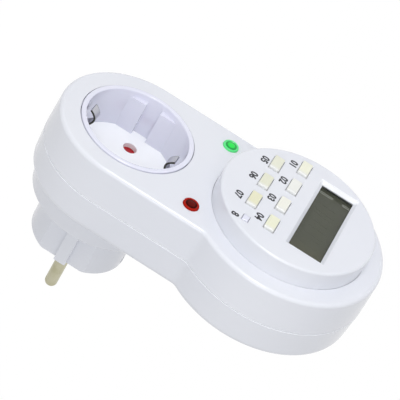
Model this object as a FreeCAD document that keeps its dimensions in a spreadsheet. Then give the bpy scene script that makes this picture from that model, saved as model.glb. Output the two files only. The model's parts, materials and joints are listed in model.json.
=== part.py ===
# Plug-in digital timer switch with an earthed socket, a keyed control head and two indicator lamps.
# Lengths are in millimetres, drafts and turns in degrees.
# Frame: the origin is the centre of the plug's pin face. +Z runs up the long axis, from the socket
# end to the control head. The front face looks along -Y, and the plug's pins point along +Y.
import FreeCAD, Part
import Sketcher
import math
import os
import re
from FreeCAD import Placement, Rotation, Vector

# Driving dimensions. Each one is a cell of the sheet, under the same name.
sizes = {
    # housing
    "socketEndRadius": 29.8,
    "headRadius": 37.9,
    "headAxis": 63.1,
    "neckRadius": 3.7,
    "frontDepth": 14.9,
    "rearDepth": 13.1,
    "frontDraft": 2.2,
    "rearDraft": 2.4,
    "sideWall": 2.6,
    "faceWall": 2.0,
    "frontEdge": 1.5,
    "backEdge": 2.2,
    "partingBevel": 0.25,
    "collarRadius": 27.0,
    "collarHeight": 8.6,
    "collarDraft": 7.0,
    "collarWall": 2.8,
    "collarPlate": 2.0,
    "collarEdge": 1.0,
    "tabWidth": 10.0,
    "tabThick": 1.6,
    "tabReach": 2.5,
    # clearances
    "fitGap": 0.1,
    "runGap": 0.2,
    "pressGap": 0.02,
    # how far a cutter runs past the faces that it cuts
    "cutterRun": 1.0,
    # housing screws and their posts
    "neckScrewX": 24.2,
    "neckScrewZ": 22.0,
    "headScrewOut": 22.9,
    "postRadius": 3.2,
    "bossRadius": 2.6,
    "screwRadius": 1.25,
    "screwHeadRadius": 2.2,
    "screwHeadHeight": 1.6,
    "screwSink": 4.0,
    "screwBite": 8.0,
    "pilotSpare": 1.0,
    # plug
    "plugRadius": 18.6,
    "plugLength": 20.4,
    "plugFace": 5.0,
    "plugBore": 13.2,
    "plugStep": 2.8,
    "plugStepThick": 2.0,
    "plugEdge": 0.8,
    "guideFlat": 16.0,
    "guideHalf": 2.3,
    "pinSpacing": 19.0,
    "pinRadius": 2.4,
    "pinLength": 19.0,
    "pinTail": 3.0,
    "pinRoot": 2.0,
    "pinTip": 2.2,
    "earthWidth": 5.0,
    "earthThick": 0.7,
    "earthStart": 1.5,
    "earthPostRadius": 1.8,
    # socket
    "rimRadius": 21.5,
    "rimHeight": 0.6,
    "rimGap": 0.3,
    "rimEdge": 0.5,
    "wellRadius": 19.6,
    "wellWall": 1.6,
    "wellDepth": 16.6,
    "floorWall": 2.0,
    "holeRadius": 2.65,
    "ribFlat": 17.0,
    "ribHalf": 3.0,
    "ribStart": 2.1,
    "insertStep": 1.8,
    "insertStepThick": 1.5,
    "clipWidth": 4.4,
    "clipThick": 0.7,
    "clipTop": 2.5,
    "clipBulge": 14.9,
    "slotTop": 3.7,
    "slotLength": 11.0,
    "slotMargin": 1.4,
    "clipRiseGap": 1.0,
    # shutter, its carrier and its spring
    "shutterReach": 13.0,
    "shutterWidth": 6.4,
    "shutterThick": 1.6,
    "hubRadius": 4.0,
    "pivotRadius": 1.8,
    "carrierRadius": 16.0,
    "carrierRim": 1.6,
    "carrierPlate": 2.4,
    "springRecess": 1.5,
    "springRadius": 2.9,
    "springWire": 0.4,
    "springPitch": 0.5,
    "springTurns": 2.5,
    # socket contacts and bus bars
    "contactGap": 4.9,
    "contactWidth": 5.0,
    "leafThick": 0.6,
    "contactDepth": 13.2,
    "barThick": 0.8,
    "barWidth": 2.0,
    "barOffset": 4.9,
    "tapStart": 4.0,
    "tapSide": 6.6,
    "lineSide": 10.9,
    "barInset": 2.4,
    # control head cover
    "dialRadius": 30.0,
    "dialHeight": 8.0,
    "dialWall": 1.6,
    "dialSide": 1.8,
    "dialEdge": 0.9,
    "dialStep": 1.8,
    "dialStepThick": 1.5,
    "coverPostRadius": 1.9,
    "coverPostOut": 24.9,
    "coverPostRise": 2.0,
    "coverPostDrop": 24.8,
    # display
    "displayWidth": 39.7,
    "displayHeight": 12.9,
    "displayX": -1.45,
    "displayRise": 9.15,
    "displayBevel": 1.2,
    "windowMargin": 1.1,
    "windowThick": 1.2,
    "glassMargin": 1.1,
    "glassThick": 2.6,
    "zebraWidth": 1.8,
    "zebraHeight": 1.5,
    "zebraMargin": 1.0,
    # keys
    "keyWidth": 7.7,
    "keyHeight": 3.9,
    "keyProud": 1.0,
    "keyPitch": 12.4,
    "keyEdge": 0.4,
    "keyGap": 0.2,
    "keyTopGap": 0.3,
    "keySkirt": 0.8,
    "keySkirtThick": 0.8,
    "keyStem": 1.0,
    "keyTravel": 0.8,
    "upperRowDrop": 5.7,
    "lowerRowDrop": 15.2,
    "upperRowStart": 21.4,
    "lowerRowStart": 15.2,
    "resetWidth": 3.0,
    "resetHeight": 2.4,
    "resetProud": 0.3,
    "resetX": 20.6,
    "resetDrop": 14.2,
    "resetSkirt": 0.4,
    "matThick": 0.8,
    "matRadius": 27.2,
    "matMargin": 2.6,
    "domeRadius": 1.7,
    # boards and what stands on them
    "boardThick": 1.6,
    "controlBoardRadius": 27.4,
    "mainBoardHalf": 19.0,
    "mainBoardUp": 21.0,
    "mainBoardDown": 25.0,
    "boardPost": 2.0,
    "boardPostRadius": 2.6,
    "boardPostX": 15.6,
    "boardPostDown": 21.6,
    "boardPostUp": 17.6,
    "boardScrewRadius": 0.9,
    "boardScrewHead": 1.8,
    "boardScrewHeadHeight": 1.3,
    "coverScrewGap": 1.0,
    "relayWidth": 15.5,
    "relayLength": 19.0,
    "relayHeight": 14.0,
    "filmWidth": 9.0,
    "filmLength": 15.0,
    "filmHeight": 13.0,
    "partGap": 3.0,
    "canRadius": 4.0,
    "canHeight": 11.0,
    "canX": 14.6,
    "canRise": 6.0,
    "varistorRadius": 4.5,
    "varistorThick": 4.0,
    "varistorX": -8.0,
    "varistorRise": 1.0,
    "fuseRadius": 4.1,
    "fuseHeight": 8.0,
    "fuseX": 7.0,
    "lowPartsDrop": 11.0,
    "headerPitch": 2.54,
    "headerWidth": 2.5,
    "headerPin": 0.35,
    "headerDrop": 18.6,
    "cellRadius": 5.8,
    "cellHeight": 4.6,
    "cellX": -9.0,
    "cellRise": 6.0,
    "chipSize": 10.0,
    "chipHeight": 1.6,
    "chipX": 8.0,
    "chipRise": 4.0,
    "crystalRadius": 1.5,
    "crystalLength": 6.0,
    "crystalDrop": 8.0,
    # indicator lamps
    "lampX": 20.5,
    "lampZ": 30.5,
    "lensRadius": 3.0,
    "lensProud": 0.9,
    "lensCrown": 5.5,
    "lensStep": 0.8,
    "lensStepThick": 0.8,
    "lampRadius": 1.5,
    "lampLength": 5.0,
    "lampBoardHalf": 24.0,
    "lampBoardHeight": 6.4,
    "lampPostX": 12.0,
    "lampPostRadius": 2.0,
    "leadWidth": 2.6,
    "leadThick": 0.6,
    "leadInset": 4.5,
    "leadStart": 2.0,
    "leadEnd": 4.0,
}

# Places worked out from the sizes. Y grows from the front face towards the pin tips.
places = {
    "collarY": "-plugLength",
    "backY": "collarY - collarHeight",
    "partY": "backY - rearDepth",
    "faceY": "partY - frontDepth",
    "underFaceY": "faceY + faceWall",
    "backInnerY": "backY - faceWall",
    "rimY": "faceY - rimHeight",
    "floorY": "faceY + wellDepth",
    "floorBackY": "floorY + floorWall",
    "wellOuter": "wellRadius + wellWall",
    "wellMiddle": "wellRadius + wellWall / 2",
    "shutterY": "floorBackY + runGap",
    "carrierY": "shutterY + shutterThick + runGap",
    "carrierBackY": "carrierY + carrierPlate",
    "clipY": "carrierBackY + clipThick / 2",
    "clipZ": "wellOuter + clipThick / 2 + fitGap",
    "contactY": "carrierBackY + fitGap",
    "contactEndY": "contactY + contactDepth",
    "plugInnerY": "collarY - collarPlate - plugStepThick",
    "pinX": "pinSpacing / 2",
    "pinTailY": "-(plugFace + pinTail)",
    "earthZ": "sqrt(plugRadius^2 - (earthWidth / 2)^2) - earthThick / 2 - fitGap",
    "earthY": "plugInnerY - earthThick / 2 - fitGap",
    "barY": "backInnerY - boardPost / 2",
    "dialY": "faceY - dialHeight",
    "underDialY": "dialY + dialWall",
    "dialStepY": "underFaceY + dialStepThick",
    "glassY": "underDialY + windowThick + fitGap",
    "glassBackY": "glassY + glassThick",
    "boardY": "glassBackY + zebraHeight",
    "boardBackY": "boardY + boardThick",
    "skirtY": "underDialY + fitGap",
    "keyBottomY": "skirtY + keySkirtThick + keyStem",
    "domeY": "keyBottomY + keyTravel + fitGap",
    "mainBoardBackY": "backInnerY - boardPost",
    "mainBoardY": "mainBoardBackY - boardThick",
    "mainBoardLow": "headAxis - mainBoardDown",
    "barEnd": "mainBoardLow + barInset",
    "lensBackY": "underFaceY + lensStepThick",
    "lampBoardY": "lensBackY + fitGap + lampLength",
    "lampBoardBackY": "lampBoardY + boardThick",
    "screwSeatY": "backY - screwSink",
    "screwTipY": "partY - screwBite",
    "upperRowZ": "headAxis - upperRowDrop",
    "lowerRowZ": "headAxis - lowerRowDrop",
    "displayZ": "headAxis + displayRise",
}


def full(text):
    """Writes out the derived places and marks each size as a cell of the sheet."""
    def word(match):
        name = match.group()
        if name in places:
            return "(" + full(places[name]) + ")"
        if name in sizes:
            return "Sheet." + name
        return name
    return re.sub(r"[A-Za-z]\w*", word, str(text))


doc = FreeCAD.newDocument("timer_switch")
sheet = doc.addObject("Spreadsheet::Sheet", "Sheet")
for row, (name, value) in enumerate(sizes.items(), 1):
    sheet.set("A%d" % row, name)
    sheet.set("B%d" % row, str(value))
    sheet.setAlias("B%d" % row, name)
doc.recompute()
probe = doc.addObject("App::FeaturePython", "Probe")
probe.addProperty("App::PropertyFloat", "Value")

pieces = {}


def number(text):
    """The present value of an expression, for starting geometry and checks."""
    probe.setExpression("Value", full(text))
    probe.recompute()
    return probe.Value


def keep(piece, label):
    """Files a finished sub-part under its node name."""
    piece.Label = label
    pieces[label] = piece
    return piece


def place(piece, x="0", y="0", z="0"):
    """Ties a piece's position to the sheet."""
    for axis, text in zip("xyz", (x, y, z)):
        piece.setExpression("Placement.Base." + axis, full(text))


def newBody(label, x="0", y="0", z="0"):
    body = doc.addObject("PartDesign::Body", label)
    place(body, x, y, z)
    return keep(body, label)


def sketchOn(body, plane, offset="0"):
    """A sketch on one of the body's own planes. On XZ the offset is counted towards the front, -Y."""
    sketch = body.newObject("Sketcher::SketchObject", "Sketch")
    support = [item for item in body.Origin.OriginFeatures if item.Role == plane][0]
    sketch.AttachmentSupport = [(support, "")]
    sketch.MapMode = "FlatFace"
    sketch.setExpression("AttachmentOffset.Base.z", full(offset))
    return sketch


def bind(sketch, kind, items, text):
    """Adds a dimension that follows the sheet."""
    index = sketch.addConstraint(Sketcher.Constraint(kind, *items, number(text)))
    sketch.setExpression("Constraints[%d]" % index, full(text))


def drawCircle(sketch, x, y, radius):
    centre = Vector(number(x), number(y), 0)
    item = sketch.addGeometry(Part.Circle(centre, Vector(0, 0, 1), number(radius)))
    bind(sketch, "Radius", (item,), radius)
    bind(sketch, "DistanceX", (-1, 1, item, 3), x)
    bind(sketch, "DistanceY", (-1, 1, item, 3), y)


def drawPolygon(sketch, points):
    """A closed outline of straight sides, with each corner tied to the sheet."""
    corners = [Vector(number(x), number(y), 0) for x, y in points]
    items = [sketch.addGeometry(Part.LineSegment(corners[i], corners[(i + 1) % len(corners)]))
             for i in range(len(corners))]
    for i, item in enumerate(items):
        sketch.addConstraint(Sketcher.Constraint("Coincident", items[i - 1], 2, item, 1))
    for item, (x, y) in zip(items, points):
        bind(sketch, "DistanceX", (-1, 1, item, 1), x)
        bind(sketch, "DistanceY", (-1, 1, item, 1), y)


def drawBox(sketch, left, right, low, high):
    drawPolygon(sketch, [(left, low), (right, low), (right, high), (left, high)])


def drawOutline(sketch, inset):
    """The housing's outline: a round end, straight sides, hollow necks and a larger round head."""
    endText, headText, neckText = (f"socketEndRadius - ({inset})", f"headRadius - ({inset})",
                                   f"neckRadius + ({inset})")
    end, head, neck, height = number(endText), number(headText), number(neckText), number("headAxis")
    side = end + neck
    drop = math.sqrt((head + neck) ** 2 - side ** 2)
    neckZ = height - drop
    lean = math.atan2(drop, side)
    up = Vector(0, 0, 1)

    def arc(x, z, radius, first, last):
        return Part.ArcOfCircle(Part.Circle(Vector(x, z, 0), up, radius), first, last)

    bottom = sketch.addGeometry(arc(0, 0, end, math.pi, 2 * math.pi))
    right = sketch.addGeometry(Part.LineSegment(Vector(end, 0, 0), Vector(end, neckZ, 0)))
    rightNeck = sketch.addGeometry(arc(side, neckZ, neck, math.pi - lean, math.pi))
    top = sketch.addGeometry(arc(0, height, head, -lean, math.pi + lean))
    leftNeck = sketch.addGeometry(arc(-side, neckZ, neck, 0, lean))
    left = sketch.addGeometry(Part.LineSegment(Vector(-end, neckZ, 0), Vector(-end, 0, 0)))
    joins = [(bottom, 2, right, 1), (right, 2, rightNeck, 2), (rightNeck, 1, top, 1),
             (top, 2, leftNeck, 2), (leftNeck, 1, left, 1), (left, 2, bottom, 1)]
    for join in joins:
        sketch.addConstraint(Sketcher.Constraint("Tangent", *join))
    sketch.addConstraint(Sketcher.Constraint("Coincident", bottom, 3, -1, 1))
    sketch.addConstraint(Sketcher.Constraint("PointOnObject", top, 3, -2))
    sketch.addConstraint(Sketcher.Constraint("Vertical", right))
    sketch.addConstraint(Sketcher.Constraint("Vertical", left))
    sketch.addConstraint(Sketcher.Constraint("Equal", rightNeck, leftNeck))
    bind(sketch, "DistanceY", (-1, 1, top, 3), "headAxis")
    bind(sketch, "Radius", (bottom,), endText)
    bind(sketch, "Radius", (top,), headText)
    bind(sketch, "Radius", (rightNeck,), neckText)


def pad(body, sketch, length, rearward=False, draft=None, middle=False):
    """Grows a sketch into the body, towards the front unless rearward."""
    doc.recompute()
    feature = body.newObject("PartDesign::Pad", "Pad")
    feature.Profile = sketch
    feature.setExpression("Length", full(length))
    feature.Reversed = rearward
    feature.Midplane = middle
    if draft is not None:
        feature.setExpression("TaperAngle", full(f"-({draft})"))
    doc.recompute()
    return feature


def pocket(body, sketch, depth, rearward=True):
    """Cuts a sketch out of the body, towards the rear unless told otherwise."""
    before = body.Shape.Volume
    feature = body.newObject("PartDesign::Pocket", "Pocket")
    feature.Profile = sketch
    feature.setExpression("Length", full(depth))
    feature.Reversed = not rearward
    doc.recompute()
    if not body.Shape.Volume < before:
        raise RuntimeError("a pocket in %s cuts nothing" % body.Label)
    return feature


def revolve(body, points):
    """Turns a closed profile of (radius, y) corners about the body's Y axis."""
    sketch = sketchOn(body, "XY_Plane")
    drawPolygon(sketch, points)
    doc.recompute()
    feature = body.newObject("PartDesign::Revolution", "Revolution")
    feature.Profile = sketch
    feature.ReferenceAxis = (sketch, ["V_Axis"])
    feature.Angle = 360
    doc.recompute()
    return feature


def roundEdges(body, radius, wanted, kind="Fillet"):
    """Rounds or bevels the edges of the body's last feature that pass the test."""
    feature = body.Tip
    names = ["Edge%d" % (i + 1) for i, edge in enumerate(feature.Shape.Edges) if wanted(edge)]
    if not names:
        raise RuntimeError("no edge to round in %s" % body.Label)
    fillet = body.newObject("PartDesign::" + kind, kind)
    fillet.Base = (feature, names)
    fillet.setExpression("Radius" if kind == "Fillet" else "Size", full(radius))
    doc.recompute()
    return fillet


def lies(edge, level):
    """True for an edge that lies all in the plane across Y at the level."""
    y = number(level)
    return abs(edge.BoundBox.YMin - y) < 0.01 and abs(edge.BoundBox.YMax - y) < 0.01


def rod(name, radius, start, end, x="0", z="0"):
    """A round bar along Y."""
    item = doc.addObject("Part::Cylinder", name)
    item.Placement = Placement(Vector(), Rotation(Vector(1, 0, 0), -90))
    item.setExpression("Radius", full(radius))
    item.setExpression("Height", full(f"({end}) - ({start})"))
    place(item, x, start, z)
    return item


def block(name, left, right, front, back, low, high):
    """A box between stated faces."""
    item = doc.addObject("Part::Box", name)
    item.setExpression("Length", full(f"({right}) - ({left})"))
    item.setExpression("Width", full(f"({back}) - ({front})"))
    item.setExpression("Height", full(f"({high}) - ({low})"))
    place(item, left, front, low)
    return item


def joined(name, items):
    item = doc.addObject("Part::MultiFuse", name)
    item.Shapes = items
    item.Refine = True
    return item


def without(name, base, tools):
    tool = tools[0] if len(tools) == 1 else joined(name + "Tools", tools)
    item = doc.addObject("Part::Cut", name)
    item.Base = base
    item.Tool = tool
    return item


def ribbon(points, thickness):
    """Corners of a bent strip in the YZ plane: its centre line moved half a thickness each way."""
    def side(sign):
        moved = []
        for i, point in enumerate(points):
            ahead = points[min(i + 1, len(points) - 1)]
            behind = points[max(i - 1, 0)]
            runs = [(point - behind), (ahead - point)]
            normals = [Vector(0, -run.z, run.y).normalize() for run in runs if run.Length > 1e-9]
            normal = (normals[0] + normals[-1]).normalize()
            moved.append(point + normal * (sign * thickness / 2 / normal.dot(normals[0])))
        return moved
    return side(1) + side(-1)[::-1]


def stripShape(path, thickness, left, right):
    """A bent strip of even thickness between two X faces, along a list of (z, y) places."""
    low = number(left)
    points = [Vector(low, number(y), number(z)) for z, y in path]
    corners = ribbon(points, number(thickness))
    face = Part.Face(Part.makePolygon(corners + corners[:1]))
    return face.extrude(Vector(number(right) - low, 0, 0))


def strip(label, path, thickness, left, right):
    item = doc.addObject("Part::Feature", label)
    item.Shape = stripShape(path, thickness, left, right)
    return keep(item, label)


# Front housing: the face with its openings, the side walls, and bosses for the housing screws
screwSpots = [("neckScrewX", "neckScrewZ"), ("-neckScrewX", "neckScrewZ"),
              ("headScrewOut", "headAxis + headScrewOut"), ("-headScrewOut", "headAxis + headScrewOut")]
front = newBody("front_housing")
outline = sketchOn(front, "XZ_Plane", "-(partY)")
drawOutline(outline, "0")
pad(front, outline, "frontDepth", draft="frontDraft")
roundEdges(front, "frontEdge", lambda edge: lies(edge, "faceY"))
roundEdges(front, "partingBevel", lambda edge: lies(edge, "partY"), "Chamfer")
hollow = sketchOn(front, "XZ_Plane", "-(partY)")
drawOutline(hollow, "sideWall")
pocket(front, hollow, "frontDepth - faceWall", rearward=False)
bosses = sketchOn(front, "XZ_Plane", "-(partY)")
for x, z in screwSpots:
    drawCircle(bosses, x, z, "bossRadius")
pad(front, bosses, "frontDepth - faceWall")
lampPosts = sketchOn(front, "XZ_Plane", "-(lampBoardY)")
for x in ("lampPostX", "-lampPostX"):
    drawCircle(lampPosts, x, "lampZ", "lampPostRadius")
pad(front, lampPosts, "(lampBoardY) - (underFaceY)")
pilots = sketchOn(front, "XZ_Plane", "-(partY)")
for x, z in screwSpots:
    drawCircle(pilots, x, z, "screwRadius + fitGap")
pocket(front, pilots, "screwBite + pilotSpare", rearward=False)
openings = sketchOn(front, "XZ_Plane", "-(faceY)")
drawCircle(openings, "0", "0", "rimRadius + rimGap")
drawCircle(openings, "0", "headAxis", "dialRadius + fitGap")
for x in ("lampX", "-lampX"):
    drawCircle(openings, x, "lampZ", "lensRadius + fitGap")
pocket(front, openings, "faceWall")

# Rear housing: the back, the round collar that carries the plug, posts for screws and the main board
rear = newBody("rear_housing")
outline = sketchOn(rear, "XZ_Plane", "-(partY)")
drawOutline(outline, "0")
pad(rear, outline, "rearDepth", rearward=True, draft="rearDraft")
roundEdges(rear, "backEdge", lambda edge: lies(edge, "backY"))
roundEdges(rear, "partingBevel", lambda edge: lies(edge, "partY"), "Chamfer")
collar = sketchOn(rear, "XZ_Plane", "-(backY)")
drawCircle(collar, "0", "0", "collarRadius")
pad(rear, collar, "collarHeight", rearward=True, draft="collarDraft")
roundEdges(rear, "collarEdge", lambda edge: lies(edge, "collarY"))
hollow = sketchOn(rear, "XZ_Plane", "-(partY)")
drawOutline(hollow, "sideWall")
pocket(rear, hollow, "rearDepth - faceWall")
collarHollow = sketchOn(rear, "XZ_Plane", "-(partY)")
drawCircle(collarHollow, "0", "0", "collarRadius - collarWall")
pocket(rear, collarHollow, "rearDepth + collarHeight - collarPlate")
posts = sketchOn(rear, "XZ_Plane", "-(partY)")
for x, z in screwSpots:
    drawCircle(posts, x, z, "postRadius")
pad(rear, posts, "rearDepth - faceWall", rearward=True)
boardSpots = [("boardPostX", "headAxis - boardPostDown"), ("-boardPostX", "headAxis - boardPostDown"),
              ("0", "headAxis + boardPostUp")]
boardPosts = sketchOn(rear, "XZ_Plane", "-(mainBoardBackY)")
for x, z in boardSpots:
    drawCircle(boardPosts, x, z, "boardPostRadius")
pad(rear, boardPosts, "boardPost", rearward=True)
tab = sketchOn(rear, "XZ_Plane", "-(partY - tabReach)")
tabLow = "-(socketEndRadius - sideWall - fitGap)"
drawBox(tab, "-tabWidth / 2", "tabWidth / 2", tabLow, f"{tabLow} + tabThick")
pad(rear, tab, "tabReach + rearDepth - faceWall", rearward=True)
tabTrim = sketchOn(rear, "XZ_Plane", "-(partY - tabReach)")
drawPolygon(tabTrim, [("-tabWidth", f"{tabLow} + fitGap + tabThick / 2"), ("-tabWidth", "-socketEndRadius"),
                      ("tabWidth", "-socketEndRadius"), ("tabWidth", f"{tabLow} + fitGap + tabThick / 2")])
pocket(rear, tabTrim, "tabReach")
shafts = sketchOn(rear, "XZ_Plane", "-(partY)")
for x, z in screwSpots:
    drawCircle(shafts, x, z, "screwRadius + runGap")
pocket(rear, shafts, "rearDepth")
sinks = sketchOn(rear, "XZ_Plane", "-(screwSeatY)")
for x, z in screwSpots:
    drawCircle(sinks, x, z, "screwHeadRadius + runGap")
pocket(rear, sinks, "screwSink")
boardHoles = sketchOn(rear, "XZ_Plane", "-(mainBoardBackY)")
for x, z in boardSpots:
    drawCircle(boardHoles, x, z, "boardScrewRadius + fitGap")
pocket(rear, boardHoles, "boardPost + faceWall / 2")
plugHole = sketchOn(rear, "XZ_Plane", "-(collarY - collarPlate)")
drawCircle(plugHole, "0", "0", "plugRadius + fitGap")
pocket(rear, plugHole, "collarPlate")

# Plug body: a drum with guide flats and side channels for the earth strips, stepped to seat in the collar
plug = newBody("plug_body")
revolve(plug, [("0", "0"), ("plugRadius", "0"), ("plugRadius", "collarY - collarPlate"),
               ("plugRadius + plugStep", "collarY - collarPlate"), ("plugRadius + plugStep", "plugInnerY"),
               ("plugBore", "plugInnerY"), ("plugBore", "-plugFace"), ("0", "-plugFace")])
roundEdges(plug, "plugEdge", lambda edge: lies(edge, "0"))
guides = sketchOn(plug, "XZ_Plane")
beyond = "plugRadius + cutterRun"
for sx in ("", "-"):
    for sz in ("", "-"):
        drawPolygon(guides, [(f"{sx}guideFlat", f"{sz}guideHalf"), (f"{sx}({beyond})", f"{sz}guideHalf"),
                             (f"{sx}({beyond})", f"{sz}({beyond})"), (f"{sx}guideFlat", f"{sz}({beyond})")])
pocket(plug, guides, "plugLength", rearward=False)
channels = sketchOn(plug, "XZ_Plane", "earthStart")
channelHalf = "earthWidth / 2 + fitGap"
channelFloor = "earthZ - earthThick / 2 - fitGap"
drawBox(channels, f"-({channelHalf})", channelHalf, channelFloor, f"{beyond} + plugStep")
drawBox(channels, f"-({channelHalf})", channelHalf, f"-({beyond} + plugStep)", f"-({channelFloor})")
pocket(plug, channels, "-(plugInnerY)", rearward=False)
pinHoles = sketchOn(plug, "XZ_Plane")
for x in ("pinX", "-pinX"):
    drawCircle(pinHoles, x, "0", "pinRoot + pressGap")
pocket(plug, pinHoles, "plugFace", rearward=False)

# Plug pins, alike, with rounded tips, a shoulder on the drum's face and a thinner root inside it
for label, x in (("plug_pin_neutral", "pinX"), ("plug_pin_line", "-pinX")):
    pin = newBody(label, x)
    section = sketchOn(pin, "XZ_Plane")
    drawCircle(section, "0", "0", "pinRadius")
    pad(pin, section, "pinLength", rearward=True)
    roundEdges(pin, "pinTip", lambda edge: lies(edge, "pinLength"))
    root = sketchOn(pin, "XZ_Plane")
    drawCircle(root, "0", "0", "pinRoot")
    pad(pin, root, "plugFace + pinTail")

# Earth strips of the plug: one bent strap whose legs lie in the drum's side channels
strip("plug_earth_strap", [("earthZ", "-earthStart"), ("earthZ", "earthY"), ("-(earthZ)", "earthY"),
                           ("-(earthZ)", "-earthStart")], "earthThick", "-earthWidth / 2", "earthWidth / 2")

# Socket insert: the round wall of the well with its rim, its guide ribs and slots for the earth clips
insert = newBody("socket_insert")
revolve(insert, [("wellRadius", "floorY"), ("wellRadius", "rimY"), ("rimRadius", "rimY"),
                 ("rimRadius", "underFaceY"), ("rimRadius + insertStep", "underFaceY"),
                 ("rimRadius + insertStep", "underFaceY + insertStepThick"),
                 ("wellOuter", "underFaceY + insertStepThick"), ("wellOuter", "floorBackY"),
                 ("wellMiddle", "floorBackY"), ("wellMiddle", "floorY")])
roundEdges(insert, "rimEdge", lambda edge: lies(edge, "rimY"))
ribs = sketchOn(insert, "XZ_Plane", "-(floorY)")
for sx in ("", "-"):
    for sz in ("", "-"):
        drawPolygon(ribs, [(f"{sx}ribFlat", f"{sz}ribHalf"),
                           (f"{sx}sqrt((wellMiddle)^2 - ribHalf^2)", f"{sz}ribHalf"),
                           (f"{sx}ribFlat", f"{sz}sqrt((wellMiddle)^2 - ribFlat^2)")])
pad(insert, ribs, "wellDepth - ribStart")
slots = sketchOn(insert, "YZ_Plane", "-(clipWidth / 2 + runGap)")
for sz in ("", "-"):
    drawPolygon(slots, [("faceY + slotTop", f"{sz}(wellRadius - cutterRun)"),
                        ("faceY + slotTop + slotLength", f"{sz}(wellRadius - cutterRun)"),
                        ("faceY + slotTop + slotLength", f"{sz}(rimRadius + insertStep + cutterRun)"),
                        ("faceY + slotTop", f"{sz}(rimRadius + insertStep + cutterRun)")])
pocket(insert, slots, "clipWidth + 2 * runGap", rearward=False)

# Socket floor: the disc with the two pin holes, seated in the step at the back of the well's wall
socketFloor = newBody("socket_floor")
disc = sketchOn(socketFloor, "XZ_Plane", "-(floorBackY)")
drawCircle(disc, "0", "0", "wellMiddle - fitGap")
pad(socketFloor, disc, "floorWall")
holes = sketchOn(socketFloor, "XZ_Plane", "-(floorY)")
for x in ("pinX", "-pinX"):
    drawCircle(holes, x, "0", "holeRadius")
pocket(socketFloor, holes, "floorWall")

# Earth clips of the socket: one sprung strap behind the well, curving in through both slots
clipPoints = 14
clipCrest = 0.72
clipHook = math.radians(51)


def clipCurve(step):
    """Place on the clip's free end, from the slot (0) to the tip (1): a quarter wave in, then a hook out."""
    depth = f"faceY + clipTop + (slotTop + slotLength - slotMargin - clipTop) * {1 - step:.4f}"
    if step < clipCrest:
        swing = math.sin(math.pi / 2 * step / clipCrest)
    else:
        swing = math.cos(clipHook * (step - clipCrest) / (1 - clipCrest))
    return f"(clipZ) - ((clipZ) - clipBulge) * {swing:.4f}", depth


clipSide = [clipCurve(i / clipPoints) for i in range(clipPoints + 1)]
clipFoot = [("0", "clipY"), ("clipZ", "clipY"), ("clipZ", "faceY + slotTop + slotLength - clipRiseGap")]
half = clipFoot[1:] + clipSide
other = [(f"-({z})", y) for z, y in half]
strip("socket_earth_clip", other[::-1] + half, "clipThick", "-clipWidth / 2", "clipWidth / 2")

# Earth post: the rivet that joins the two earth straps
keep(rod("earth_post", "earthPostRadius", "clipY + clipThick / 2", "earthY - earthThick / 2"), "earth_post")

# Shutter: a red two-winged rotor that covers both pin holes from behind
wing = block("shutterWing", "-shutterReach", "shutterReach", "shutterY", "shutterY + shutterThick",
             "-shutterWidth / 2", "shutterWidth / 2")
hub = rod("shutterHub", "hubRadius", "shutterY", "shutterY + shutterThick")
bore = rod("shutterBore", "pivotRadius + fitGap / 2", "shutterY - cutterRun",
           "shutterY + shutterThick + cutterRun")
keep(without("shutter", joined("shutterBlank", [wing, hub]), [bore]), "shutter")

# Contact carrier: the cup behind the well, with the shutter's pivot and a ring recess for its spring
rim = rod("carrierRing", "carrierRadius", "floorBackY", "carrierY")
rimHollow = rod("carrierHollow", "carrierRadius - carrierRim", "floorBackY - cutterRun",
                "carrierY + cutterRun")
plate = rod("carrierPlate", "carrierRadius", "carrierY", "carrierBackY")
pivot = rod("carrierPivot", "pivotRadius", "floorBackY", "carrierY")
recess = rod("carrierRecess", "springRadius + springWire", "carrierY - cutterRun",
             "carrierY + springRecess")
pivotFoot = rod("carrierPivotFoot", "pivotRadius", "carrierY", "carrierY + springRecess")
passages = [rod("carrierPassage", "holeRadius + runGap", "carrierY - cutterRun",
                "carrierBackY + cutterRun", x) for x in ("pinX", "-pinX")]
carrierCup = joined("carrierCup", [without("carrierWall", rim, [rimHollow]),
                                   without("carrierBase", plate, [recess] + passages), pivot, pivotFoot])
keep(carrierCup, "contact_carrier")

# Shutter spring: a few turns of wire round the pivot, in the carrier's recess
wire = number("springWire") / 2
turn = Part.makeHelix(number("springPitch"), number("springPitch") * number("springTurns"),
                      number("springRadius") - wire - number("fitGap"))
start = turn.Edges[0].valueAt(turn.Edges[0].FirstParameter)
tangent = turn.Edges[0].tangentAt(turn.Edges[0].FirstParameter)
ring = Part.Wire(Part.makeCircle(wire, start, tangent))
coil = Part.Wire(turn.Edges).makePipeShell([ring], True, True)
spring = doc.addObject("Part::Feature", "shutter_spring")
spring.Shape = coil
springLow = number("carrierY + springRecess - pressGap") - wire
spring.Placement = Placement(Vector(0, springLow, 0), Rotation(Vector(1, 0, 0), 90))
keep(spring, "shutter_spring")

# Socket contacts: a pair of brass leaves on a bridge, one set behind each pin hole
for label, x in (("contact_neutral", "pinX"), ("contact_line", "-pinX")):
    leafZ = "contactGap / 2 + leafThick / 2"
    floor = "contactEndY - leafThick / 2"
    strip(label, [(leafZ, "contactY"), (leafZ, floor), (f"-({leafZ})", floor), (f"-({leafZ})", "contactY")],
          "leafThick", f"{x} - contactWidth / 2", f"{x} + contactWidth / 2")

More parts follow.
